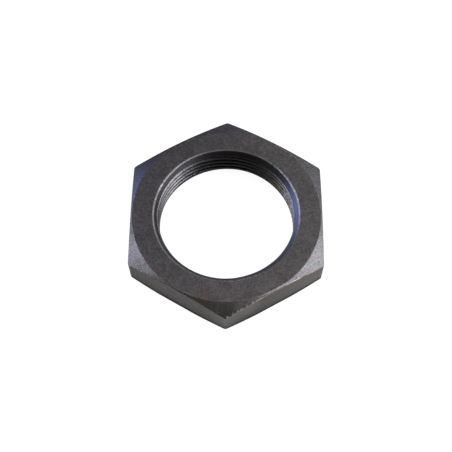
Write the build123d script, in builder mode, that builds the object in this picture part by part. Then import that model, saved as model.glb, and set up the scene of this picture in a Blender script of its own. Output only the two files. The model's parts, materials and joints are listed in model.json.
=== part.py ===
# Clutch nut: a thin hexagonal nut with a large threaded bore, turned from hexagon bar.
# Millimetres. The origin is the middle of the lower face, +Z runs up the bore,
# and two of the six corners lie on the Y axis.
from build123d import *
from math import cos, radians, tan
import os

# The hexagon bar
across_flats = 38.1
corner_round = 0.75
thickness = 7.9

# The outer chamfers are turned, so each is a cone about the bore.
# The upper one bites into the flats, and the lower one only takes off the corners.
upper_land_inset = 0.25
upper_chamfer_slope = 20.0
lower_land_outset = 0.28
lower_chamfer_slope = 24.0

# The thread is 1 1/8 inch with 20 turns to the inch, and has a 60 degree profile.
# The bore's wall is cut plain at the minor diameter, where the thread's crests lie.
thread_major_diameter = 28.575
thread_pitch = 1.27
profile_depth_per_pitch = 0.54127

# Each mouth of the bore is countersunk down to the crests, so that the shaft finds its way in.
# The upper countersink starts just past the thread's roots, and its edge is broken.
# The lower one is the lead-in, and runs deeper.
countersink_slope = 45.0
upper_countersink_clearance = 0.11
edge_break_width = 0.42
edge_break_depth = 0.12
lower_countersink_depth = 1.55

# Radii and heights of the turned section
flat_radius = across_flats / 2
corner_radius = (flat_radius - corner_round) / cos(radians(30)) + corner_round
upper_land_radius = flat_radius - upper_land_inset
lower_land_radius = flat_radius + lower_land_outset
root_radius = thread_major_diameter / 2
crest_radius = root_radius - profile_depth_per_pitch * thread_pitch
upper_countersink_radius = root_radius + upper_countersink_clearance
upper_mouth_radius = upper_countersink_radius + edge_break_width
lower_mouth_radius = crest_radius + lower_countersink_depth / tan(radians(countersink_slope))
upper_countersink_drop = (upper_countersink_radius - crest_radius) * tan(radians(countersink_slope))
wall_top = thickness - edge_break_depth - upper_countersink_drop

# The section is drawn past the corners, so that the bar's own sides bound the nut
section_margin = 1.0
section_radius = corner_radius + section_margin
upper_chamfer_drop = (section_radius - upper_land_radius) * tan(radians(upper_chamfer_slope))
lower_chamfer_rise = (section_radius - lower_land_radius) * tan(radians(lower_chamfer_slope))

bore_outline = [
    (lower_mouth_radius, 0),
    (crest_radius, lower_countersink_depth),
    (crest_radius, wall_top),
    (upper_countersink_radius, thickness - edge_break_depth),
    (upper_mouth_radius, thickness),
]
outer_outline = [
    (upper_land_radius, thickness),
    (section_radius, thickness - upper_chamfer_drop),
    (section_radius, lower_chamfer_rise),
    (lower_land_radius, 0),
]

with BuildPart() as clutch_nut:
    # A slice of hexagon bar, its upright edges softly rounded
    with BuildSketch() as bar:
        RegularPolygon(flat_radius, 6, major_radius=False, rotation=30)
        fillet(bar.vertices(), corner_round)
    extrude(amount=thickness)

    # What turning leaves: the bore, its two mouths and both outer chamfers in one section
    with BuildSketch(Plane.XZ):
        with BuildLine():
            Polyline(*bore_outline, *outer_outline, close=True)
        make_face()
    revolve(axis=Axis.Z, mode=Mode.INTERSECT)

clutch_nut.part.label = "clutch_nut"

os.makedirs("parts", exist_ok=True)
export_step(clutch_nut.part, "parts/clutch_nut.step")
box = clutch_nut.part.bounding_box()
print(f"clutch_nut: {box.size.X:.2f} x {box.size.Y:.2f} x {box.size.Z:.2f} mm")
print(f"crests at radius {crest_radius:.3f} mm, from {lower_countersink_depth:.2f} to {wall_top:.2f} mm up")
print(f"volume {clutch_nut.part.volume:.0f} mm3")
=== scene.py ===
# %% [markdown]
# # A clutch nut in blackened steel
# This lesson dresses one turned part: a thin hexagonal nut with a large, finely threaded bore.
# The engineering model comes in as a fixed frame, with its size, its place and its plain bore.
# Everything below builds the same form again as a finished mesh with the real thread cut in it,
# and gives it the dark, worn surface of steel that was blackened in oil and has lain in a drawer.

import json
import math

import bmesh
import bpy
import numpy as np
from mathutils import Matrix, Vector


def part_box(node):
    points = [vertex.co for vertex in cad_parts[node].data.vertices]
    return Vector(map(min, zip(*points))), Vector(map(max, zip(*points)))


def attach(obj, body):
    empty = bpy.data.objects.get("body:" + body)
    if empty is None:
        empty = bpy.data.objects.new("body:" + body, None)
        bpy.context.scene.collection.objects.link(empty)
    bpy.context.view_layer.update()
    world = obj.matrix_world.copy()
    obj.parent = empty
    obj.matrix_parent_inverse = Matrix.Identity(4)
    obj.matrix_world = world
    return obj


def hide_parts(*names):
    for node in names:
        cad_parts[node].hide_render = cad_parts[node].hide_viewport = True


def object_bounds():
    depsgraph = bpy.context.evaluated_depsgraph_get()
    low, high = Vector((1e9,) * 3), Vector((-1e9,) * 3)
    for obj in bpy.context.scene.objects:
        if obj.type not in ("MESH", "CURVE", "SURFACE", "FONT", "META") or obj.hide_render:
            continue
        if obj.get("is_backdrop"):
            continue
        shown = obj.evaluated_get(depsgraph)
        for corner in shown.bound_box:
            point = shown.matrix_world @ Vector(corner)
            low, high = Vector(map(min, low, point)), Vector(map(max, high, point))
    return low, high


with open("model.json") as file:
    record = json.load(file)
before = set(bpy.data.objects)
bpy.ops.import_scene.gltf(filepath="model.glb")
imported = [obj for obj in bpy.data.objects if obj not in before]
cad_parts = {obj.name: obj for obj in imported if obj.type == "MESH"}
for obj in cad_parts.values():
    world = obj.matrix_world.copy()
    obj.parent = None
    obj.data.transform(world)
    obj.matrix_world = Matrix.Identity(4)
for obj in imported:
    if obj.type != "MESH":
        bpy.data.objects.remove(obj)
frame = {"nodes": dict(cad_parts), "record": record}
cad_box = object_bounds()
print("frame holds", sorted(frame["nodes"]))

# %% [markdown]
# ## Sizes
# The nut lies flat, with the bore's axis on Z. Two flats face +X and -X, and two corners lie on Y.
# What the frame can tell is read from it: the width across the flats, the thickness, the rounding
# of the six upright edges and the radius of the thread's crests. The rest of the turned section
# is named here, in millimetres as on a shop drawing, and `MM` turns it into Blender's metres.

# %% Sizes of the turned section
MM = 0.001
low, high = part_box("clutch_nut")
thread_mount = next(m for m in frame["record"]["mounts"] if m["name"] == "thread")

THICKNESS = high.z
FLAT_RADIUS = (high.x - low.x) / 2
CORNER_RADIUS = (high.y - low.y) / 2
SHARP_CORNER = FLAT_RADIUS / math.cos(math.radians(30))
CORNER_ROUND = (SHARP_CORNER - CORNER_RADIUS) / (SHARP_CORNER / FLAT_RADIUS - 1)

UPPER_LAND = FLAT_RADIUS - 0.25 * MM
UPPER_SLOPE = math.tan(math.radians(20))
LOWER_LAND = FLAT_RADIUS + 0.28 * MM
LOWER_SLOPE = math.tan(math.radians(24))

PITCH = 1.27 * MM
CREST_RADIUS = thread_mount["dims"]["r_mm"] * MM
ROOT_RADIUS = 28.575 / 2 * MM
COUNTERSINK_RADIUS = ROOT_RADIUS + 0.016 * MM
MOUTH_DROP = 0.214 * MM
LOWER_COUNTERSINK = 1.55 * MM
print(f"across flats {2 * FLAT_RADIUS / MM:.2f} mm, corners rounded {CORNER_ROUND / MM:.2f} mm")

# %% [markdown]
# ## Columns round the nut
# The mesh is a ring of sections. Each of the six sides gets the same number of columns, and they
# crowd together near the corners, because a corner is rounded over less than two degrees while
# the flat between two corners is straight. A cubic spacing does that with a single formula.
# The bore is round, so its own columns are spread evenly.

# %% Angles of the columns
SIDE_COLUMNS = 80
COLUMNS = 6 * SIDE_COLUMNS
CROWDING = 0.22

side_step = np.arange(SIDE_COLUMNS) / SIDE_COLUMNS * 2 - 1
from_corner = np.radians(30) * (CROWDING * side_step + (1 - CROWDING) * side_step**3)
outer_angle = np.concatenate([from_corner + np.radians(30 + 60 * side) for side in range(6)])
bore_angle = np.linspace(0, 2 * np.pi, COLUMNS, endpoint=False)


def side_radius(angle):
    """Distance from the axis to the hexagon's side, over its rounded corners."""
    local = np.radians(np.degrees(angle) % 60 - 30)
    straight = FLAT_RADIUS / np.cos(np.radians(30) - np.abs(local))
    arc_centre = (FLAT_RADIUS - CORNER_ROUND) / math.cos(math.radians(30))
    inside = np.maximum(CORNER_ROUND**2 - (arc_centre * np.sin(local)) ** 2, 0)
    arc = arc_centre * np.cos(local) + np.sqrt(inside)
    half_arc = math.atan2(CORNER_ROUND / 2, arc_centre + CORNER_ROUND * math.cos(math.radians(30)))
    return np.where(np.abs(local) < half_arc, arc, straight)


hexagon = side_radius(outer_angle)
print(f"{COLUMNS} columns, the nut is {2 * hexagon.max() / MM:.2f} mm over its corners")

# %% [markdown]
# ## The blank
# A lathe and a spanner-wide bar give this nut its outside: flat faces, six flats, and a cone above
# and below that trims the corners. The upper cone bites a little into the flats too, which gives
# them their curved upper edges. Such a body could be a hexagonal prism cut by cones with Boolean
# modifiers, but their edges come out ragged and razor sharp. Here every column has its own small
# section instead, worked out from the sizes, and each of its corners is rounded by a short curve.
# Rounded edges are what catches the light on real metal.


# %% One station of the section
def ring(radius, angle, height):
    """A closed ring of points, one for each column."""
    radius, height = np.broadcast_to(radius, angle.shape), np.broadcast_to(height, angle.shape)
    return np.stack([radius * np.cos(angle), radius * np.sin(angle), height], axis=-1)


LOWER_EDGE_BREAK = 0.09 * MM
COUNTERSINK_SLOPE = math.radians(45)
# The mouth is an arc. These are its slopes in degrees, from the countersink up to the flat top
MOUTH_SLOPES = [45, 37, 29, 21, 14, 7]
MOUTH_ROUND = MOUTH_DROP / (1 - math.cos(COUNTERSINK_SLOPE))
lower_mouth_radius = CREST_RADIUS + LOWER_COUNTERSINK
countersink_top = THICKNESS - MOUTH_DROP
mouth_radius = COUNTERSINK_RADIUS + MOUTH_ROUND * math.sin(COUNTERSINK_SLOPE)
upper_edge = THICKNESS - (hexagon - UPPER_LAND) * UPPER_SLOPE
lower_edge = np.maximum((hexagon - LOWER_LAND) * LOWER_SLOPE, LOWER_EDGE_BREAK)

mouth = [
    ring(
        mouth_radius - MOUTH_ROUND * math.sin(math.radians(slope)),
        bore_angle,
        THICKNESS - MOUTH_ROUND * (1 - math.cos(math.radians(slope))),
    )
    for slope in MOUTH_SLOPES
]
stations = [
    ring(mouth_radius, bore_angle, THICKNESS),
    ring(UPPER_LAND, outer_angle, THICKNESS),
    ring(hexagon, outer_angle, upper_edge),
    ring(hexagon, outer_angle, lower_edge),
    ring(np.minimum(LOWER_LAND, hexagon - LOWER_EDGE_BREAK), outer_angle, 0),
    ring(lower_mouth_radius, bore_angle, 0),
]
print(f"{len(stations)} stations, and {len(mouth)} rings that round the mouth over")


# %% Rings between the stations
# The edge between the upper chamfer and the near right side is rubbed rounder than the others.
# Its rounding in millimetres changes at these angles, in degrees.
RUBBED_AT = [274, 276, 328, 330]
RUBBED_ROUND = [0.035, 0.13, 0.13, 0.035]
rubbed_edge = np.interp(np.degrees(outer_angle), RUBBED_AT, RUBBED_ROUND)[:, None] * MM

# Roundings of the four edges, and divisions of the five faces, from the top to the underside
ROUNDING = [0.07 * MM, rubbed_edge, 0.06 * MM, 0.05 * MM]
DIVISIONS = [5, 16, 12, 2, 2]
MOUTH, TOP, CHAMFER, SIDE, LOWER_CHAMFER = -1, 0, 1, 2, 3

ROUND_STEPS = 4
ROUND_LIMIT = 0.4  # the most of a face that a rounding takes
SUPPORT = 0.03 * MM
SUPPORT_LIMIT = 0.2  # the most of one division that a supporting ring takes


def unit(vectors):
    return vectors / np.linalg.norm(vectors, axis=-1, keepdims=True)


def rounded_corner(before, here, after, reach):
    """Rings that turn the corner at `here` in a short curve, starting `reach` before it."""
    lengths = [np.linalg.norm(other - here, axis=-1, keepdims=True) for other in (before, after)]
    start, end = (
        here + unit(other - here) * np.minimum(reach, ROUND_LIMIT * length)
        for other, length in zip((before, after), lengths)
    )
    steps = np.linspace(0, 1, ROUND_STEPS + 1)
    return [(1 - s) ** 2 * start + 2 * s * (1 - s) * here + s**2 * end for s in steps]


def straight_stretch(start, end, divisions):
    """Rings between two others, with a narrow one at each end that keeps the shading flat."""
    length = np.linalg.norm(end - start, axis=-1, keepdims=True)
    narrow = np.minimum(SUPPORT / length, SUPPORT_LIMIT / divisions)
    shares = [narrow, *np.arange(1, divisions) / divisions, 1 - narrow]
    return [start + (end - start) * share for share in shares]


def section_rings():
    """All rings of the blank, and for each the number of the face of the section that it is on."""
    corners = [
        rounded_corner(stations[k], stations[k + 1], stations[k + 2], ROUNDING[k])
        for k in range(len(stations) - 2)
    ]
    rings, face = [*mouth, stations[0]], [MOUTH] * len(mouth) + [TOP]
    for k, divisions in enumerate(DIVISIONS):
        start = rings[-1]
        end = corners[k][0] if k < len(corners) else stations[-1]
        stretch = straight_stretch(start, end, divisions)
        rings += stretch
        face += [k] * len(stretch)
        if k < len(corners):
            rings += corners[k]
            face += [k + 0.5] * len(corners[k])
    rings.append(stations[-1])
    face.append(len(DIVISIONS) - 1)
    return np.array(rings), np.array(face)


rings, ring_face = section_rings()
print(f"{len(rings)} rings of {COLUMNS} points")

# %% [markdown]
# ## Knocks
# A loose nut gets knocked. The near corner has a chipped edge where its chamfer meets the flat,
# and a few more nicks lie on the other chamfers and on the mouth of the bore. Each is a shallow
# bowl pushed into the points, because a dent that only a bump map draws would be missing from
# the mesh itself. The finish below shows some of them as bright spots, where the oxide came off.

# %% Dents in the blank
KNOCKS = [
    # place (mm), radius (mm), depth (mm)
    ((0.51, -21.54, 6.89), 0.34, 0.025),
    ((1.64, -21.00, 7.02), 0.30, 0.04),
    ((-0.05, -21.95, 6.65), 0.30, 0.02),
    ((3.14, -20.18, 7.08), 0.28, 0.04),
    ((4.08, -19.60, 7.40), 0.26, 0.03),
    ((-16.51, -12.33, 7.24), 0.34, 0.02),
    ((-13.62, -13.96, 7.40), 0.30, 0.015),
    ((-17.45, -7.10, 7.88), 0.28, 0.05),
    ((-16.90, 7.90, 7.90), 0.26, 0.06),
    ((-11.30, 9.60, 7.88), 0.24, 0.06),
    ((10.55, 10.45, 7.88), 0.26, 0.07),
    ((-14.55, 2.40, 7.80), 0.22, 0.05),
    ((12.60, 7.80, 7.85), 0.22, 0.05),
    ((17.05, -11.20, 6.70), 0.26, 0.05),
]
BORE_SIDE = UPPER_LAND * 0.9  # knocks within this radius lie on the bore's edge
DOWNWARD = -1.0


def knock(points, place, radius, depth):
    """Pushes a shallow bowl into the points, towards the middle of the nut's wall and down."""
    centre = np.array(place) * MM
    share = 1 - (np.linalg.norm(points - centre, axis=-1) / (radius * MM)) ** 2
    inward = -centre / np.linalg.norm(centre[:2])
    wall_side = 1 if np.hypot(*centre[:2]) > BORE_SIDE else -1
    push = unit(np.array([inward[0] * wall_side, inward[1] * wall_side, DOWNWARD]))
    return points + np.clip(share, 0, None)[..., None] ** 2 * depth * MM * push


for place, radius, depth in KNOCKS:
    rings = knock(rings, place, radius, depth)
print(len(KNOCKS), "knocks in the blank")

# %% [markdown]
# ## The blank as a mesh
# The rings become quads. Four values ride along on the points for the finish to read later: how
# much a point is on a turned chamfer, on one of the six flats, on an edge that rubs bare, or on
# the rounded mouth of the bore. Above the near right side, the edge that rubs bare also carries a
# painted highlight. A fifth, the sill, is the height of the side's lower end in that column,
# because the lower chamfer lifts it near the corners. The finish measures from there.


# %% Mesh of the blank
def face_share(*faces):
    """1 on the rings of these faces of the section, and 0 elsewhere."""
    return np.isin(ring_face, faces).astype(np.float32)


def blank_mesh():
    rows = len(rings)
    index = np.arange(rows * COLUMNS).reshape(rows, COLUMNS)
    following = np.roll(index, -1, axis=1)
    quads = np.stack([index[:-1], following[:-1], following[1:], index[1:]], axis=-1)
    mesh = bpy.data.meshes.new("blank")
    mesh.from_pydata(rings.reshape(-1, 3).tolist(), [], quads.reshape(-1, 4).tolist())
    shares = {
        "turned": face_share(CHAMFER, LOWER_CHAMFER),
        "side": face_share(SIDE),
        "worn_and_highlit": face_share(CHAMFER + 0.5),
        "mouth": face_share(MOUTH),
    }
    for name, share in shares.items():
        layer = mesh.attributes.new(name, "FLOAT", "POINT")
        layer.data.foreach_set("value", np.repeat(share, COLUMNS))
    layer = mesh.attributes.new("sill", "FLOAT", "POINT")
    layer.data.foreach_set("value", np.tile(lower_edge, rows).astype(np.float32))
    return mesh


blank = bpy.data.objects.new("blank", blank_mesh())
bpy.context.scene.collection.objects.link(blank)
print(len(blank.data.polygons), "quads in the blank")

# %% [markdown]
# ## The thread
# The bore is cut with a right-hand thread of 20 turns to the inch: a groove that climbs one pitch
# each time round, with flat crests, flat roots and 60 degrees between its flanks. A Screw modifier
# could wind it, but its ends would stop in mid air. Geometry Nodes follow the rule itself. A flat
# grid is wrapped round the bore, its rows are sheared by one pitch so that they run along the
# groove, and each point then takes the largest of three radii: the thread's, the upper
# countersink's and the lower one's. So the thread fades out in both mouths as a real one does.
# Near the top the groove is also cut less and less deep. That follows the helix, so it depends
# on how high the middle of the groove is, and not on how high the point itself is.
# Where the grid's two ends meet they have the same shape, one pitch apart, and merge.


# %% Arithmetic with sockets
class Reckoning:
    """A socket of a node tree that plain arithmetic can be done with."""

    def __init__(self, tree, socket):
        self.tree = tree
        self.socket = socket

    def math(self, operation, *others):
        node = self.tree.nodes.new("ShaderNodeMath")
        node.operation = operation
        for place, value in enumerate([self, *others]):
            if isinstance(value, Reckoning):
                self.tree.links.new(value.socket, node.inputs[place])
            else:
                node.inputs[place].default_value = value
        return Reckoning(self.tree, node.outputs[0])

    def __add__(self, other):
        return self.math("ADD", other)

    def __sub__(self, other):
        return self.math("SUBTRACT", other)

    def __mul__(self, other):
        return self.math("MULTIPLY", other)

    def __truediv__(self, other):
        return self.math("DIVIDE", other)

    def clamp(self, lowest, highest):
        return self.math("MAXIMUM", lowest).math("MINIMUM", highest)

    def spread(self, lower, higher):
        """0 up to the lower value, 1 from the higher one, and a straight slope between them."""
        return ((self - lower) / (higher - lower)).clamp(0, 1)


# %% Inputs of the thread's tree
THREAD_INPUTS = {
    "Pitch": ("NodeSocketFloat", PITCH),
    "Crest Radius": ("NodeSocketFloat", CREST_RADIUS),
    "Root Radius": ("NodeSocketFloat", ROOT_RADIUS),
    "Top Height": ("NodeSocketFloat", countersink_top),
    "Top Radius": ("NodeSocketFloat", COUNTERSINK_RADIUS),
    "Bottom Radius": ("NodeSocketFloat", lower_mouth_radius),
    "Start Height": ("NodeSocketFloat", 0.0),
    "Columns": ("NodeSocketInt", COLUMNS),
    "Rows": ("NodeSocketInt", 0),
    "Steel": ("NodeSocketMaterial", None),
}

# Across one pitch, a crest is flat on each side of its middle, and then comes the flank
HALF_CREST = 2 / 16
FLANK = 5 / 16
# A crest of the thread passes the far side of the bore (+Y) at this height
CREST_AT_FAR_SIDE = 5.893 * MM
# The groove has ended where its middle is this high, and it gets shallower over the last climb
THREAD_END = 7.24 * MM
RUN_OUT = 0.26 * MM
ROWS_PER_TURN = 16
ROW_HEIGHT = PITCH / ROWS_PER_TURN
# Points of the wall and of the blank that are this close become one
MERGE_WITHIN = 0.0005 * MM

# The columns start at +X, a quarter of a turn before the far side
crest_at_start = CREST_AT_FAR_SIDE - PITCH / 4
rows_below = math.ceil((crest_at_start + PITCH) / ROW_HEIGHT)
start_height = crest_at_start - rows_below * ROW_HEIGHT
row_count = math.ceil((countersink_top - start_height) / ROW_HEIGHT) + 1
print(f"{row_count} rows of the grid, {(countersink_top - start_height) / PITCH:.1f} turns")

# %% Where the thread's finish goes
THREAD_EDGE = 0.05 * MM  # the thread's finish is full where it is cut this far past the cones
FLANK_STARTS = (0.10, 0.12)  # shares of a pitch past the middle of a crest
ROOT_DEPTH = 0.9  # from this share of the depth on, the root is plain
ROOT_FADE = 3  # how steeply the flank's finish fades towards the root
print(f"the flanks' finish starts {FLANK_STARTS[0] * PITCH / MM:.2f} mm past a crest's middle")


# %% The thread's tree
def thread_tree():
    """Adds the threaded wall to the blank that comes in, and closes the two into one skin."""
    tree = bpy.data.node_groups.new("threaded_bore", "GeometryNodeTree")
    tree.interface.new_socket("Geometry", in_out="INPUT", socket_type="NodeSocketGeometry")
    for name, (kind, _) in THREAD_INPUTS.items():
        tree.interface.new_socket(name, in_out="INPUT", socket_type=kind)
    tree.interface.new_socket("Geometry", in_out="OUTPUT", socket_type="NodeSocketGeometry")

    def add(kind, **settings):
        node = tree.nodes.new(kind)
        for name, value in settings.items():
            setattr(node, name, value)
        return node

    def join(source, target):
        tree.links.new(source, target)

    given = add("NodeGroupInput")
    size = {name: Reckoning(tree, given.outputs[name]) for name in THREAD_INPUTS}

    grid = add("GeometryNodeMeshGrid")
    grid.inputs["Size X"].default_value = 1
    grid.inputs["Size Y"].default_value = 1
    join((size["Columns"] + 1).socket, grid.inputs["Vertices X"])
    join(size["Rows"].socket, grid.inputs["Vertices Y"])

    place = add("GeometryNodeInputPosition")
    split = add("ShaderNodeSeparateXYZ")
    join(place.outputs[0], split.inputs[0])
    turn = Reckoning(tree, split.outputs["X"]) + 0.5
    row = (Reckoning(tree, split.outputs["Y"]) + 0.5) * (size["Rows"] - 1)
    angle = turn * math.tau

    climb = turn * size["Pitch"]
    height = size["Start Height"] + row * size["Pitch"] / ROWS_PER_TURN + climb
    height = height.clamp(0, size["Top Height"])

    turns_up = (height - size["Start Height"] - climb) / size["Pitch"]
    past_crest = (turns_up - rows_below / ROWS_PER_TURN + ROWS_PER_TURN).math("FRACT")
    from_crest = past_crest.math("PINGPONG", 0.5)
    groove_middle = height - (past_crest - 0.5) * size["Pitch"]
    run_out = ((groove_middle * -1 + THREAD_END) / RUN_OUT).clamp(0, 1)
    depth = ((from_crest - HALF_CREST) / FLANK).clamp(0, 1) * run_out
    thread = size["Crest Radius"] + depth * (size["Root Radius"] - size["Crest Radius"])
    upper_cone = size["Top Radius"] - (size["Top Height"] - height)
    lower_cone = size["Bottom Radius"] - height
    radius = thread.math("MAXIMUM", upper_cone).math("MAXIMUM", lower_cone)

    # The shares for the finish are stored while the grid is still flat, because they are
    # worked out from its positions, just as the new ones are
    on_thread = ((thread - upper_cone.math("MAXIMUM", lower_cone)) / THREAD_EDGE).clamp(0, 1)
    facing_up = past_crest.spread(*FLANK_STARTS) * past_crest.math("LESS_THAN", 0.5)
    on_flank = ((depth * -1 + ROOT_DEPTH) * ROOT_FADE).clamp(0, 1) * facing_up
    marked = grid
    for name, value in (("bore", on_thread * 0 + 1), ("thread", on_thread), ("flank", on_flank)):
        mark = add("GeometryNodeStoreNamedAttribute", data_type="FLOAT", domain="POINT")
        mark.inputs["Name"].default_value = name
        join(value.socket, mark.inputs["Value"])
        join(marked.outputs[0], mark.inputs["Geometry"])
        marked = mark

    point = add("ShaderNodeCombineXYZ")
    join((radius * angle.math("COSINE")).socket, point.inputs["X"])
    join((radius * angle.math("SINE")).socket, point.inputs["Y"])
    join(height.socket, point.inputs["Z"])
    wrap = add("GeometryNodeSetPosition")
    join(marked.outputs[0], wrap.inputs["Geometry"])
    join(point.outputs[0], wrap.inputs["Position"])

    both = add("GeometryNodeJoinGeometry")
    join(wrap.outputs[0], both.inputs[0])
    join(given.outputs["Geometry"], both.inputs[0])
    merge = add("GeometryNodeMergeByDistance")
    merge.inputs["Distance"].default_value = MERGE_WITHIN
    join(both.outputs[0], merge.inputs["Geometry"])
    smooth = add("GeometryNodeSetShadeSmooth")
    join(merge.outputs[0], smooth.inputs["Geometry"])
    realize = add("GeometryNodeRealizeInstances")
    join(smooth.outputs[0], realize.inputs["Geometry"])
    paint = add("GeometryNodeSetMaterial")
    join(realize.outputs[0], paint.inputs["Geometry"])
    join(size["Steel"].socket, paint.inputs["Material"])
    result = add("NodeGroupOutput")
    join(paint.outputs[0], result.inputs["Geometry"])
    return tree


tree = thread_tree()
print(len(tree.nodes), "nodes cut the thread")

# %% [markdown]
# ## The finish
# Blackened steel is metal under a thin, dark oxide. It mirrors the room dimly and softly, it is
# speckled where the oxide took unevenly, and it shows brighter steel where edges rub. One
# material covers the whole nut, because it is one piece of steel. What differs from face to face
# comes from the values that ride on the mesh, and what differs from place to place comes from
# short lists of places and radii. The colour is laid on coat by coat, as a painter would do it:
# first the oxide of each face, then marks, painted light and shade, bare edges and rust.
# All patterns read Object coordinates, in metres, so the scales are large numbers: a scale of
# 3000 gives spots about a third of a millimetre wide.


# %% Helpers for materials
def new_material(name):
    material = bpy.data.materials.new(name)
    material.use_nodes = True
    material.node_tree.nodes.clear()
    return material, material.node_tree


def place_node(tree, kind, inputs=None, **settings):
    """Adds a node, sets its options, and links or sets its inputs by name."""
    node = tree.nodes.new(kind)
    for name, value in settings.items():
        setattr(node, name, value)
    for name, value in (inputs or {}).items():
        if isinstance(value, Reckoning):
            tree.links.new(value.socket, node.inputs[name])
        elif isinstance(value, bpy.types.NodeSocket):
            tree.links.new(value, node.inputs[name])
        else:
            node.inputs[name].default_value = value
    return node


# A Mix node has sockets for every kind of data, and these are the ones for colours
MIX_SHARE, MIX_FIRST, MIX_SECOND, MIX_RESULT = 0, 6, 7, 2


def blend_colours(tree, share, first, second):
    """A colour between two, by a share from 0 to 1."""
    node = place_node(tree, "ShaderNodeMix", data_type="RGBA")
    for place, value in ((MIX_SHARE, share), (MIX_FIRST, first), (MIX_SECOND, second)):
        if isinstance(value, Reckoning):
            value = value.socket
        if isinstance(value, bpy.types.NodeSocket):
            tree.links.new(value, node.inputs[place])
        elif place == MIX_SHARE:
            node.inputs[place].default_value = value
        else:
            node.inputs[place].default_value = (*value, 1)
    return node.outputs[MIX_RESULT]


# %% Helpers for places
def coordinate(tree, place, axis):
    split = place_node(tree, "ShaderNodeSeparateXYZ", {"Vector": place})
    return Reckoning(tree, split.outputs[axis])


def distance_along(tree, place, angle):
    """How far a place lies from the axis in one direction, given as an angle from +X."""
    direction = (math.cos(angle), math.sin(angle), 0)
    node = place_node(
        tree, "ShaderNodeVectorMath", {0: place, 1: direction}, operation="DOT_PRODUCT"
    )
    return Reckoning(tree, node.outputs["Value"])


# %% Colours of the steel
DARK_OXIDE = (0.070, 0.066, 0.066)
PALE_OXIDE = (0.124, 0.118, 0.120)
TURNED_DARK = (0.074, 0.072, 0.074)
TURNED_PALE = (0.133, 0.131, 0.135)
SIDE_DARK = (0.140, 0.136, 0.134)
SIDE_PALE = (0.190, 0.186, 0.181)
# Painted light on the sides at the right and at the near corner
SIDE_PAINTED_LIGHT = (0.252, 0.241, 0.232)
MOUTH_DARK = (0.100, 0.098, 0.100)
MOUTH_PALE = (0.260, 0.252, 0.256)
FLANK_DARK = (0.118, 0.114, 0.118)
FLANK_PALE = (0.212, 0.205, 0.212)
# Near black of oil and painted shade, for the thread's crests and roots and the sides' foot
OIL_AND_SHADE_BLACK = (0.018, 0.017, 0.018)
WORN_STEEL = (0.240, 0.215, 0.200)
# Bare steel with a painted highlight, for the strip along the edge above the near right side
EDGE_WEAR_AND_HIGHLIGHT = (0.235, 0.208, 0.200)
# A painted highlight on the thread at the right of the bore
THREAD_HIGHLIGHT = (0.385, 0.360, 0.350)
# A painted blue glint: the countersink's colour where the blue window's light falls on it
BLUE_GLINT_CONE = (0.165, 0.178, 0.205)
# A painted shade: the sides get darker towards the bottom, near the table
LOW_SIDE_SHADE = (0.060, 0.056, 0.054)
RUST = (0.100, 0.056, 0.042)
# Dims what the steel mirrors at a grazing angle
SPECULAR_TINT = (0.35, 0.35, 0.35, 1)

# Oil and heat leave a faint drift between a redder and a greener black
REDDER = (1.04, 0.985, 1.02)
GREENER = (0.97, 1.01, 0.975)
print(f"the top's oxide mirrors {min(DARK_OXIDE):.1%} to {max(PALE_OXIDE):.1%} of the light")

# %% Places of rust, bare steel, painted light and the foot line
# Each place has its coordinates and its radius in millimetres
RUST_PLACES = [
    ((-4.6, -17.6, 7.9), 1.8),
    ((-4.2, -16.2, 7.9), 1.3),
    ((-0.1, -19.1, 7.8), 0.5),
    ((1.25, -19.6, 7.6), 0.5),
]
# Where the thread gets its painted highlight
THREAD_HIGHLIGHT_PLACES = [((13.1, 3.8, 4.5), 6.2)]
# Where the countersink gets its painted blue glint
BLUE_GLINT_PLACES = [((14.0, -0.6, 7.4), 11.0)]
# Where the sides get painted light
SIDE_LIGHT_PLACES = [((19.0, -9.5, 2.0), 15.0), ((1.0, -24.5, 6.5), 6.5), ((5.0, -21.0, 6.0), 4.5)]
# Where the strip along that edge is bare and carries a painted highlight
EDGE_STRIP_PLACES = [((9.0, -16.8, 7.8), 4.8)]
HIGH_FOOT = [((-17.0, -12.2, 0.5), 8.0)]
LOW_FOOT = [((7.5, -17.7, 0.5), 9.0)]
print(len(RUST_PLACES), "spots of rust")
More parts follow.
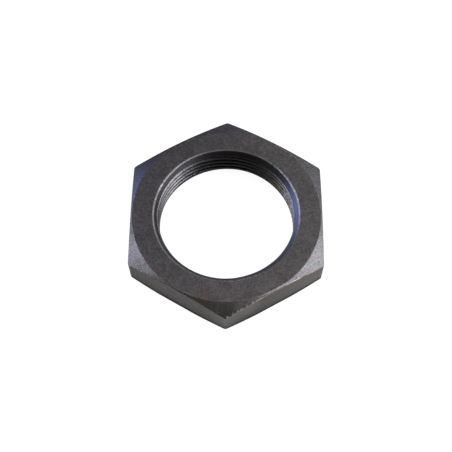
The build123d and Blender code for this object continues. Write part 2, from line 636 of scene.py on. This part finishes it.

# %% [markdown]
# ## Marks
# Each mark lays one colour on one kind of surface, round a few places. The small ones are real
# marks: chips, rubbed edges, and dirt on the near corner. The bare edge above the near right side
# also carries a painted highlight. The wide ones are painted light and shade: they even out what
# the lamps leave, so that each stretch of the chamfers, the countersink, the mouth and the thread
# is as bright as on the real nut. They belong to this light. Under another one they can be taken
# out of the list, and the rest of the finish stays as it is. The same goes for the wide places of
# the lists above: the painted light on the sides, the painted highlight on the thread and the
# painted blue glint on the countersink. That one's colour is bluish because the light there is,
# and not the steel. Later marks lie over earlier ones.

# %% Marks in the finish
MARKS = [
    # the surface that it keeps to, colour, strength, places with their radii (mm)
    # The chamfer at the near corner: dirty at the left, paler at the right
    ("turned", (0.088, 0.082, 0.066), 0.8, [((-4.6, -18.8, 7.7), 3.0)]),
    ("turned", (0.088, 0.084, 0.096), 0.7, [((0.0, -20.6, 7.3), 1.6)]),
    ("turned", (0.175, 0.160, 0.170), 0.9, [((2.9, -19.7, 7.4), 1.7), ((5.0, -18.9, 7.6), 1.6)]),
    ("turned", (0.200, 0.180, 0.180), 0.9, [((6.6, -17.9, 7.75), 1.2)]),
    # Painted light on the near end of the left chamfer
    ("turned", (0.172, 0.166, 0.178), 1.0, [((-12.2, -14.6, 7.6), 3.6), ((-14.4, -13.2, 7.5), 2.4)]),
    # Chips on the edges
    ("skin", (0.400, 0.380, 0.385), 1.0, [((0.50, -21.54, 6.90), 0.42), ((1.6, -21.0, 7.06), 0.44)]),
    ("skin", (0.480, 0.455, 0.450), 1.0, [((3.1, -20.2, 7.2), 0.42), ((4.1, -19.5, 7.46), 0.36)]),
    ("skin", (0.480, 0.455, 0.465), 1.0, [((5.2, -18.95, 7.55), 0.36), ((2.4, -20.5, 7.18), 0.3)]),
    ("skin", (0.200, 0.192, 0.196), 0.7, [((-16.5, -12.3, 7.24), 0.5)]),
    # Painted light and shade over long stretches of the countersink, a flank of the thread, the mouth
    # and the thread
    ("cone", (0.062, 0.060, 0.067), 1.0, [((-13.5, 3.5, 7.4), 11.0)]),
    ("cone", (0.056, 0.054, 0.056), 1.0, [((1.0, 14.0, 7.4), 9.0)]),
    ("cone", (0.142, 0.129, 0.138), 1.0, [((7.1, -12.3, 7.4), 7.0)]),
    ("flank", (0.130, 0.128, 0.130), 0.9, [((2.5, 13.7, 5.0), 9.5)]),
    ("mouth", (0.110, 0.107, 0.110), 1.0, [((-9.6, -10.8, 7.9), 13.0)]),
    ("mouth", (0.118, 0.118, 0.122), 0.9, [((12.4, -7.7, 7.9), 7.0)]),
    ("mouth", (0.135, 0.127, 0.124), 0.9, [((-10.5, 10.3, 7.9), 4.2), ((-14.7, 0.0, 7.9), 5.5)]),
    ("mouth", (0.250, 0.240, 0.240), 0.8, [((13.8, 5.0, 7.9), 5.0)]),
    ("mouth", (0.080, 0.078, 0.080), 1.0, [((1.0, 14.3, 7.9), 11.0)]),
    ("thread", (0.158, 0.154, 0.161), 0.9, [((-13.6, -0.5, 5.0), 9.5)]),
    # The edge of the left chamfer, and the upper left chamfer
    ("turned", (0.105, 0.102, 0.098), 0.9, [((-18.9, -11.0, 6.75), 1.1), ((-17.6, -11.9, 7.0), 0.6)]),
    ("turned", (0.118, 0.114, 0.114), 0.8, [((-17.0, -12.2, 7.1), 0.7), ((-15.9, -12.8, 7.3), 0.7)]),
    ("turned", (0.118, 0.114, 0.114), 0.8, [((-14.8, -13.45, 7.45), 0.6), ((-13.8, -14.0, 7.6), 0.6)]),
    ("turned", (0.096, 0.101, 0.096), 0.6, [((-19.0, 8.0, 7.2), 7.0)]),
    # Bare steel along the edge above the near right side, with a painted highlight on it
    ("worn_and_highlit", (0.720, 0.585, 0.480), 1.0, [((13.6, -14.2, 7.6), 1.6)]),
    ("worn_and_highlit", (0.400, 0.345, 0.300), 1.0, [((16.6, -12.4, 7.2), 1.5)]),
    ("worn_and_highlit", (0.620, 0.550, 0.510), 1.0, [((6.6, -18.2, 7.7), 1.4), ((8.4, -17.2, 7.8), 1.5)]),
    ("worn_and_highlit", (0.620, 0.550, 0.510), 1.0, [((10.3, -16.1, 7.8), 1.5), ((12.0, -15.1, 7.7), 1.3)]),
]
print(len(MARKS), "marks at", sum(len(places) for *_, places in MARKS), "places")

# %% Patterns
OXIDE_CONTRAST = (0.40, 0.60)
PATTERNS = {
    # name: scale, detail, roughness, and the values that become 0 and 1
    "grain": (2600, 3, 0.7, None),
    "fine grain": (5200, 3, 0.6, None),
    "clouds": (420, 2, 0.6, None),
    "coarse": (1700, 4, 0.7, OXIDE_CONTRAST),
    "rubbing": (700, 4, 0.6, (0.45, 0.62)),
    "highlight specks": (1300, 4, 0.6, (0.38, 0.58)),
    "rusting": (1500, 3, 0.6, (0.35, 0.70)),
    "hue": (760, 4, 0.7, (0.42, 0.58)),
    "gloss": (1900, 3, 0.6, (0.30, 0.70)),
}
print(len(PATTERNS), "patterns")


# %% The finish as it builds up
class Finish:
    """Patterns and places on the nut, and a colour that is laid on coat by coat."""

    def __init__(self, tree, first_colour):
        self.tree = tree
        self.spots = place_node(tree, "ShaderNodeTexCoord").outputs["Object"]
        self.height = coordinate(tree, self.spots, "Z")
        self.colour = first_colour
        self.made = {}

    def pattern(self, name):
        if name not in self.made:
            scale, detail, roughness, contrast = PATTERNS[name]
            inputs = {"Vector": self.spots, "Scale": scale, "Detail": detail, "Roughness": roughness}
            noise = place_node(self.tree, "ShaderNodeTexNoise", inputs)
            value = Reckoning(self.tree, noise.outputs["Fac"])
            self.made[name] = value.spread(*contrast) if contrast else value
        return self.made[name]

    def speckled(self, share):
        """1 where the oxide is pale, and less by this share where it is dark."""
        return self.pattern("coarse") * share + (1 - share)

    def on_mesh(self, name):
        """A value that rides on the mesh."""
        node = place_node(self.tree, "ShaderNodeAttribute", attribute_name=name)
        return Reckoning(self.tree, node.outputs["Fac"])

    def near(self, places):
        """How close a point is to any of these places: 1 there, and 0 beyond their radius."""
        closest = None
        for place, radius in places:
            ends = {0: self.spots, 1: tuple(x * MM for x in place)}
            away = place_node(self.tree, "ShaderNodeVectorMath", ends, operation="DISTANCE")
            away = Reckoning(self.tree, away.outputs["Value"])
            here = (away / (radius * MM) * -1 + 1).clamp(0, 1)
            closest = here if closest is None else closest.math("MAXIMUM", here)
        return closest

    def around(self, places, steepness):
        """As near, but 1 over the inner part of each radius too."""
        return (self.near(places) * steepness).clamp(0, 1)

    def mix(self, share, first, second):
        return blend_colours(self.tree, share, first, second)

    def coat(self, share, colour):
        """Lays a colour over what is there, by a share from 0 to 1."""
        self.colour = self.mix(share, self.colour, colour)


# %% Kinds of surface
def surfaces(finish):
    """How much a point belongs to each kind of surface, from the values on the mesh."""
    names = ("turned", "side", "worn_and_highlit", "mouth", "bore", "thread")
    on = {name: finish.on_mesh(name) for name in names}
    on["facing up"] = finish.on_mesh("flank")
    on["flank"] = on["thread"] * on["facing up"]
    on["cone"] = on["bore"] * (on["thread"] * -1 + 1)
    on["skin"] = on["bore"] * -1 + 1
    return on


# %% Oxide and marks
GRAIN_SHARE = 0.8
CLOUD_SHARE = 0.2
MARK_STEEPNESS = 1.8
MARK_SPECKS = 0.25


def lay_oxide(finish, on):
    """Specks and larger clouds, in the colours of each face, and bare steel on the edges."""
    coarse = finish.pattern("coarse")
    clouded = finish.pattern("grain") * GRAIN_SHARE + finish.pattern("clouds") * CLOUD_SHARE
    specks = clouded.spread(*OXIDE_CONTRAST)
    finish.coat(specks, PALE_OXIDE)
    turned_colour = finish.mix(specks * 0.5 + coarse * 0.5, TURNED_DARK, TURNED_PALE)
    finish.coat(on["turned"].math("MAXIMUM", on["bore"]), turned_colour)
    finish.coat(on["side"], finish.mix(coarse, SIDE_DARK, SIDE_PALE))
    finish.coat(on["mouth"], finish.mix(coarse, MOUTH_DARK, MOUTH_PALE))
    flank_colour = finish.mix(coarse, FLANK_DARK, FLANK_PALE)
    # Crests, roots and lower flanks of the thread: oil, and a painted shade for the shaded table that
    # they mirror deep in the bore
    finish.coat(on["thread"], finish.mix(on["facing up"], OIL_AND_SHADE_BLACK, flank_colour))
    finish.coat(on["worn_and_highlit"] * finish.pattern("rubbing"), WORN_STEEL)


def lay_marks(finish, on):
    for surface, colour, strength, places in MARKS:
        marked = on[surface] * finish.around(places, MARK_STEEPNESS) * strength
        finish.coat(marked * finish.speckled(MARK_SPECKS), colour)


# %% [markdown]
# ## Foot and edge
# The sides are painted darker towards the bottom, near the face that the nut lies on: a painted
# shade from the table. A dark line of oil and painted shade runs along their foot. On this nut
# it is a little higher at the left end of the near left side, and lower on the near right side.
# Above the near right side, the chamfer's edge is rubbed bare in a strip half a millimetre wide,
# which is found by its distance from the flat, and the strip also carries a painted highlight.

# %% Foot and edge
LOW_SHADE_HEIGHT = 4.2 * MM
LOW_SHADE_SHARE = 0.2
FOOT_HEIGHT = 0.73 * MM
FOOT_FADE = 0.25 * MM
# How much the dark line rises and drops at its places, in millimetres
HIGH_FOOT_RISE = 0.03
LOW_FOOT_DROP = 0.08

# The strip along the edge above the near right side: bare steel with a painted highlight
EDGE_STRIP_SIDE = math.radians(-60)  # the near right side faces this way
EDGE_STRIP_WIDTH = (-0.50 * MM, -0.30 * MM)
EDGE_STRIP_HEIGHT = (7.66 * MM, 7.74 * MM)
EDGE_STRIP_STEEPNESS = 2
EDGE_STRIP_SPECKS = 0.4


def shade_and_light_sides(finish, on):
    """Painted light on places of the sides, painted shade low down, and the dark foot line of oil and
    painted shade.
    """
    side = on["side"]
    # Painted light on the sides at the right and at the near corner
    finish.coat(side * finish.near(SIDE_LIGHT_PLACES), SIDE_PAINTED_LIGHT)
    # Painted shade: darker towards the bottom of the sides
    low_down = side * (finish.height / LOW_SHADE_HEIGHT * -1 + 1).clamp(0, 1)
    finish.coat(low_down * finish.pattern("coarse") * LOW_SHADE_SHARE, LOW_SIDE_SHADE)
    rise = finish.near(HIGH_FOOT) * HIGH_FOOT_RISE * MM
    drop = finish.near(LOW_FOOT) * LOW_FOOT_DROP * MM
    above_foot = finish.height - finish.on_mesh("sill")
    foot = side * (rise - drop + FOOT_HEIGHT - above_foot).spread(0, FOOT_FADE)
    # The foot line: oil, and a painted shade where the nut meets the table
    finish.coat(foot, OIL_AND_SHADE_BLACK)


def lay_edge_wear_and_highlight(finish):
    """The bare strip along the edge above the near right side, with a painted highlight on it."""
    beside = distance_along(finish.tree, finish.spots, EDGE_STRIP_SIDE) - FLAT_RADIUS
    on_edge = beside.spread(*EDGE_STRIP_WIDTH) * finish.height.spread(*EDGE_STRIP_HEIGHT)
    on_edge = on_edge * finish.around(EDGE_STRIP_PLACES, EDGE_STRIP_STEEPNESS)
    finish.coat(on_edge * finish.speckled(EDGE_STRIP_SPECKS), EDGE_WEAR_AND_HIGHLIGHT)


# %% Painted highlight on the thread, painted blue glint on the countersink, and rust
THREAD_HIGHLIGHT_STEEPNESS = 1.8
BLUE_GLINT_STEEPNESS = 2.5
RUST_SHARE = 0.7


def lay_spots(finish, on):
    # A speckled painted highlight on the thread at the right of the bore
    highlit_thread = on["thread"] * finish.around(THREAD_HIGHLIGHT_PLACES, THREAD_HIGHLIGHT_STEEPNESS) * finish.pattern("highlight specks")
    finish.coat(highlit_thread, THREAD_HIGHLIGHT)
    # The painted blue glint in the right side of the countersink
    finish.coat(on["cone"] * finish.around(BLUE_GLINT_PLACES, BLUE_GLINT_STEEPNESS), BLUE_GLINT_CONE)
    rusty = finish.near(RUST_PLACES) * finish.pattern("rusting") * RUST_SHARE
    finish.coat(rusty, RUST)


# %% Roughness and grain of the surface
ROUGHNESS = 0.31
GLOSS_DRIFT = 0.08
TURNED_STEADIER = 0.5
TURNED_SMOOTHER = 0.05
BORE_ROUGHER = 0.08
THREAD_SMOOTHER = 0.11

BUMP = 0.24
TURNED_FLATTER = 0.17
SIDE_FLATTER = 0.14
BUMP_DISTANCE = 0.04 * MM
BUMP_GRAIN = 0.7
BUMP_FINE_GRAIN = 0.3


def surface_roughness(finish, on):
    drift = finish.pattern("gloss") * GLOSS_DRIFT * (on["turned"] * -TURNED_STEADIER + 1)
    by_face = drift + ROUGHNESS - on["turned"] * TURNED_SMOOTHER
    return by_face + on["bore"] * BORE_ROUGHER - on["thread"] * THREAD_SMOOTHER


def surface_grain(finish, on):
    grain = finish.pattern("grain") * BUMP_GRAIN + finish.pattern("fine grain") * BUMP_FINE_GRAIN
    strength = on["turned"] * -TURNED_FLATTER - on["side"] * SIDE_FLATTER + BUMP
    inputs = {"Height": grain, "Strength": strength, "Distance": BUMP_DISTANCE}
    return place_node(finish.tree, "ShaderNodeBump", inputs).outputs[0]


# %% Blackened steel
def blackened_steel():
    material, tree = new_material("blackened_steel")
    finish = Finish(tree, DARK_OXIDE)
    on = surfaces(finish)
    lay_oxide(finish, on)
    lay_marks(finish, on)
    shade_and_light_sides(finish, on)
    lay_edge_wear_and_highlight(finish)
    lay_spots(finish, on)
    tints = {0: finish.colour, 1: finish.mix(finish.pattern("hue"), REDDER, GREENER)}
    tinted = place_node(tree, "ShaderNodeVectorMath", tints, operation="MULTIPLY")
    steel = place_node(
        tree,
        "ShaderNodeBsdfPrincipled",
        {
            "Base Color": tinted.outputs["Vector"],
            "Metallic": 1.0,
            "Roughness": surface_roughness(finish, on),
            "Specular Tint": SPECULAR_TINT,
            "Normal": surface_grain(finish, on),
        },
    )
    place_node(tree, "ShaderNodeOutputMaterial", {"Surface": steel.outputs[0]})
    return material


steel = blackened_steel()
print(len(steel.node_tree.nodes), "nodes in the steel")

# %% [markdown]
# ## Cutting the thread
# The tree goes on the blank as a modifier. Its inputs are set by the sockets' identifiers, then
# the evaluated result is copied to a plain mesh, so that nothing live is left on the piece.


# %% The finished nut
def threaded_nut(blank, tree):
    modifier = blank.modifiers.new("thread", "NODES")
    modifier.node_group = tree
    values = {name: value for name, (_, value) in THREAD_INPUTS.items()}
    values.update({"Start Height": start_height, "Rows": row_count, "Steel": steel})
    for socket in tree.interface.items_tree:
        if socket.in_out == "INPUT" and socket.name in values:
            modifier[socket.identifier] = values[socket.name]
    blank.update_tag()
    bpy.context.view_layer.update()
    evaluated = blank.evaluated_get(bpy.context.evaluated_depsgraph_get())
    mesh = bpy.data.meshes.new_from_object(evaluated)
    blank.modifiers.remove(modifier)
    return mesh


def point_faces_outwards(mesh):
    """Turns every face of the closed skin outwards, and says what is left open."""
    skin = bmesh.new()
    skin.from_mesh(mesh)
    bmesh.ops.recalc_face_normals(skin, faces=skin.faces)
    open_edges = sum(not edge.is_manifold for edge in skin.edges)
    volume = skin.calc_volume(signed=True)
    skin.to_mesh(mesh)
    skin.free()
    return open_edges, volume


mesh = threaded_nut(blank, tree)
bpy.data.objects.remove(blank)
nut = bpy.data.objects.new("threaded_nut", mesh)
bpy.context.scene.collection.objects.link(nut)
open_edges, volume = point_faces_outwards(mesh)
triangles = sum(len(face.vertices) - 2 for face in mesh.polygons)
print(f"{triangles} triangles, {open_edges} open edges, {volume / MM**3:.0f} cubic millimetres")

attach(nut, "root")
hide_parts("clutch_nut")

# %% [markdown]
# ## The floor
# The nut lies on a pale floor. The camera and the steel's own reflections see it nearly white,
# by a share of light of its own that only they can see, and it still takes the nut's shadow.
# A real table is dark in the last hair's breadth beside the nut, and the sides mirror that as
# a thin dark line. So reflections find the glow shaded along the foot, by the distance from
# the hexagon, which is the largest of three distances from the axis measured across the flats.
# The line is a little wider at the left than at the right, so that distance leans with X.

# %% Floor
FLOOR_RADIUS = 1.2
FLOOR_COLOUR = (0.14, 0.14, 0.14)
FLOOR_GLOW = 0.96
FLOOR_SEGMENTS = 96

FLATS_FACE = (0, 60, 120)  # degrees from +X, one for each pair of flats
SHADE_EDGE = (0.28 * MM, 0.46 * MM)
SHADE_TAIL = (0.4 * MM, 1.5 * MM)
TAIL_SHARE = 0.18
LEAN = 0.007
LEAN_BETWEEN = (-18 * MM, 8 * MM)


def contact_shade(tree):
    """How bright the floor is for reflections: dark along the nut's foot, 1 away from it."""
    place = place_node(tree, "ShaderNodeTexCoord").outputs["Object"]
    reach = None
    for turn in FLATS_FACE:
        here = distance_along(tree, place, math.radians(turn)).math("ABSOLUTE")
        reach = here if reach is None else reach.math("MAXIMUM", here)
    sideways = coordinate(tree, place, "X").clamp(*LEAN_BETWEEN)
    beyond = reach - FLAT_RADIUS + sideways * LEAN
    tail = beyond.spread(*SHADE_TAIL) * TAIL_SHARE + (1 - TAIL_SHARE)
    outside = beyond.spread(*SHADE_EDGE) * tail
    from_axis = place_node(tree, "ShaderNodeVectorMath", {0: place}, operation="LENGTH")
    in_hole = Reckoning(tree, from_axis.outputs["Value"]).math("LESS_THAN", lower_mouth_radius)
    return outside.math("MAXIMUM", in_hole)


def floor_material():
    material, tree = new_material("pale_floor")
    rays = place_node(tree, "ShaderNodeLightPath")
    camera_ray, glossy_ray, clear_ray = (
        Reckoning(tree, rays.outputs[f"Is {kind} Ray"])
        for kind in ("Camera", "Glossy", "Transmission")
    )
    seen = camera_ray.math("MAXIMUM", glossy_ray.math("MAXIMUM", clear_ray) * contact_shade(tree))
    glow = place_node(tree, "ShaderNodeEmission", {"Strength": seen * FLOOR_GLOW})
    paint = place_node(tree, "ShaderNodeBsdfDiffuse", {"Color": (*FLOOR_COLOUR, 1)})
    both = place_node(tree, "ShaderNodeAddShader", {0: glow.outputs[0], 1: paint.outputs[0]})
    place_node(tree, "ShaderNodeOutputMaterial", {"Surface": both.outputs[0]})
    return material


def floor_disc():
    disc = bmesh.new()
    bmesh.ops.create_circle(disc, cap_ends=True, segments=FLOOR_SEGMENTS, radius=FLOOR_RADIUS)
    mesh = bpy.data.meshes.new("floor")
    disc.to_mesh(mesh)
    disc.free()
    mesh.materials.append(floor_material())
    floor = bpy.data.objects.new("floor", mesh)
    bpy.context.scene.collection.objects.link(floor)
    return floor


floor_disc()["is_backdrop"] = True
print(f"the floor is {2 * FLOOR_RADIUS:.1f} m across")

# %% [markdown]
# ## Light
# Dark metal shows little of its own: it is drawn by what it mirrors. Two soft boxes at the right
# light the right corner and the right of the top face, and a cooler one at the left lights the
# left corner and the right wall of the bore. Low at the left a blue window puts the blue glint in
# that wall. Two boxes low at the right, one of them bright, light the left wall of the bore and
# its thread. The others are weak: a ceiling for the top face, and a fill, a wall, a window and a
# bit of sky that the chamfers mirror. The camera's side stays dark, and so does the near chamfer.
# Lamps are given by the brightness that the steel mirrors, and the watts are worked out from it,
# so that moving a lamp doesn't change its glint.


# %% Soft boxes
LAMP_DISTANCE = 0.6


def towards(azimuth, elevation):
    """Unit vector; azimuth in degrees anticlockwise from +X, elevation above the floor."""
    a, e = math.radians(azimuth), math.radians(elevation)
    return Vector((math.cos(a) * math.cos(e), math.sin(a) * math.cos(e), math.sin(e)))


def soft_box(name, azimuth, elevation, width, height, brightness, colour, distance=LAMP_DISTANCE):
    """A rectangular lamp that faces the nut. Width and height are angles in degrees."""
    lamp = bpy.data.lights.new(name, "AREA")
    lamp.shape = "RECTANGLE"
    lamp.size = 2 * distance * math.tan(math.radians(width / 2))
    lamp.size_y = 2 * distance * math.tan(math.radians(height / 2))
    lamp.color = colour
    lamp.energy = brightness * math.pi * lamp.size * lamp.size_y
    item = bpy.data.objects.new(name, lamp)
    item.location = towards(azimuth, elevation) * distance
    item.rotation_euler = towards(azimuth, elevation).to_track_quat("Z", "Y").to_euler()
    bpy.context.scene.collection.objects.link(item)
    return lamp.energy


SOFT_BOXES = {
    # name: azimuth, elevation, width, height (degrees), brightness of red, green and blue
    "right_soft_box": (18, 50, 46, 16, (4.8, 4.8, 4.9)),
    "right_top_box": (0, 66, 18, 16, (5.3, 5.7, 6.3)),
    "left_soft_box": (154, 51, 28, 16, (4.6, 4.7, 5.5)),
    "left_fill": (186, 55, 22, 22, (0.4, 0.4, 0.3)),
    "ceiling": (0, 89.9, 32, 32, (1.5, 1.4, 1.3)),
    "blue_window": (155, 16, 35, 14, (2.2, 2.7, 5.0)),
    "blue_sky": (138, 34, 20, 14, (0.8, 1.1, 2.3)),
    "far_window": (120, 33, 25, 17, (0.5, 0.4, 0.6)),
    "low_right": (335, 6, 40, 12, (6.4, 6.1, 6.9)),
    "right_low": (2, 26, 34, 30, (1.1, 1.1, 1.1)),
    "back_wall": (64, 42, 28, 30, (1.0, 1.0, 0.8)),
}
for name, (azimuth, elevation, width, height, brightness) in SOFT_BOXES.items():
    peak = max(brightness)
    colour = [share / peak for share in brightness]
    watts = soft_box(name, azimuth, elevation, width, height, peak, colour)
    print(f"{name}: {watts:.2f} W")

# %% World
WALL_LIGHT = (0.69, 0.69, 0.84)
WALL_TOWARDS = (66, 22)
WALL_FALLOFF = 4


def studio_world():
    """A pale wall behind the nut and to its right, and darkness on the camera's side."""
    world = bpy.data.worlds.new("studio")
    world.use_nodes = True
    tree = world.node_tree
    tree.nodes.clear()
    direction = place_node(tree, "ShaderNodeTexCoord").outputs["Generated"]
    facing = place_node(
        tree,
        "ShaderNodeVectorMath",
        {0: direction, 1: towards(*WALL_TOWARDS)},
        operation="DOT_PRODUCT",
    )
    wall = Reckoning(tree, facing.outputs["Value"]).clamp(0, 1).math("POWER", WALL_FALLOFF)
    glow = place_node(
        tree, "ShaderNodeBackground", {"Color": (*WALL_LIGHT, 1), "Strength": wall}
    )
    place_node(tree, "ShaderNodeOutputWorld", {"Surface": glow.outputs[0]})
    bpy.context.scene.world = world


studio_world()
print(f"the wall's light comes from azimuth {WALL_TOWARDS[0]}, elevation {WALL_TOWARDS[1]}")

# %% [markdown]
# ## Camera
# The camera looks down at the nut from the front, from about 17 cm away. Its place was found by
# matching the nut's outline, so the numbers are exact ones. The small turn, tilt and roll at the
# end are how far the real camera was from aiming straight at the middle of the nut.

# %% Camera
SENSOR_WIDTH = 36
LENS = 68.267
NEAREST = 0.01
FARTHEST = 10
DISTANCE = 173.642 * MM
AZIMUTH = 0.849
ELEVATION = 63.231
AIM_TURN = 0.0344
AIM_TILT = -0.2747
ROLL = 0.288


def camera_pose():
    a, e = math.radians(AZIMUTH), math.radians(ELEVATION)
    back = Vector((math.sin(a) * math.cos(e), -math.cos(a) * math.cos(e), math.sin(e)))
    right = Vector((math.cos(a), math.sin(a), 0))
    up = back.cross(right)
    aim = Matrix((right, up, back)).transposed().to_4x4()
    for angle, axis in ((AIM_TURN, "Y"), (AIM_TILT, "X"), (-ROLL, "Z")):
        aim = aim @ Matrix.Rotation(math.radians(angle), 4, axis)
    middle = Vector((0, 0, THICKNESS / 2))
    return Matrix.Translation(middle + back * DISTANCE) @ aim


camera = bpy.data.objects.new("camera", bpy.data.cameras.new("camera"))
camera.data.sensor_width = SENSOR_WIDTH
camera.data.lens = LENS
camera.data.clip_start = NEAREST
camera.data.clip_end = FARTHEST
camera.matrix_world = camera_pose()
bpy.context.scene.collection.objects.link(camera)
bpy.context.scene.camera = camera
bpy.context.scene.view_settings.view_transform = "Standard"
print(f"the camera looks down at {ELEVATION:.0f} degrees from {DISTANCE / MM:.0f} mm away")

# %% [markdown]
# ## The two boxes
# The box of the finished nut is written beside the frame's own, to show that nothing grew.

# %% Boxes
visual_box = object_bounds()
boxes = {"cad": cad_box, "visual": visual_box}
for name, box in boxes.items():
    print(name, [round(x / MM, 3) for x in (*box[0], *box[1])])
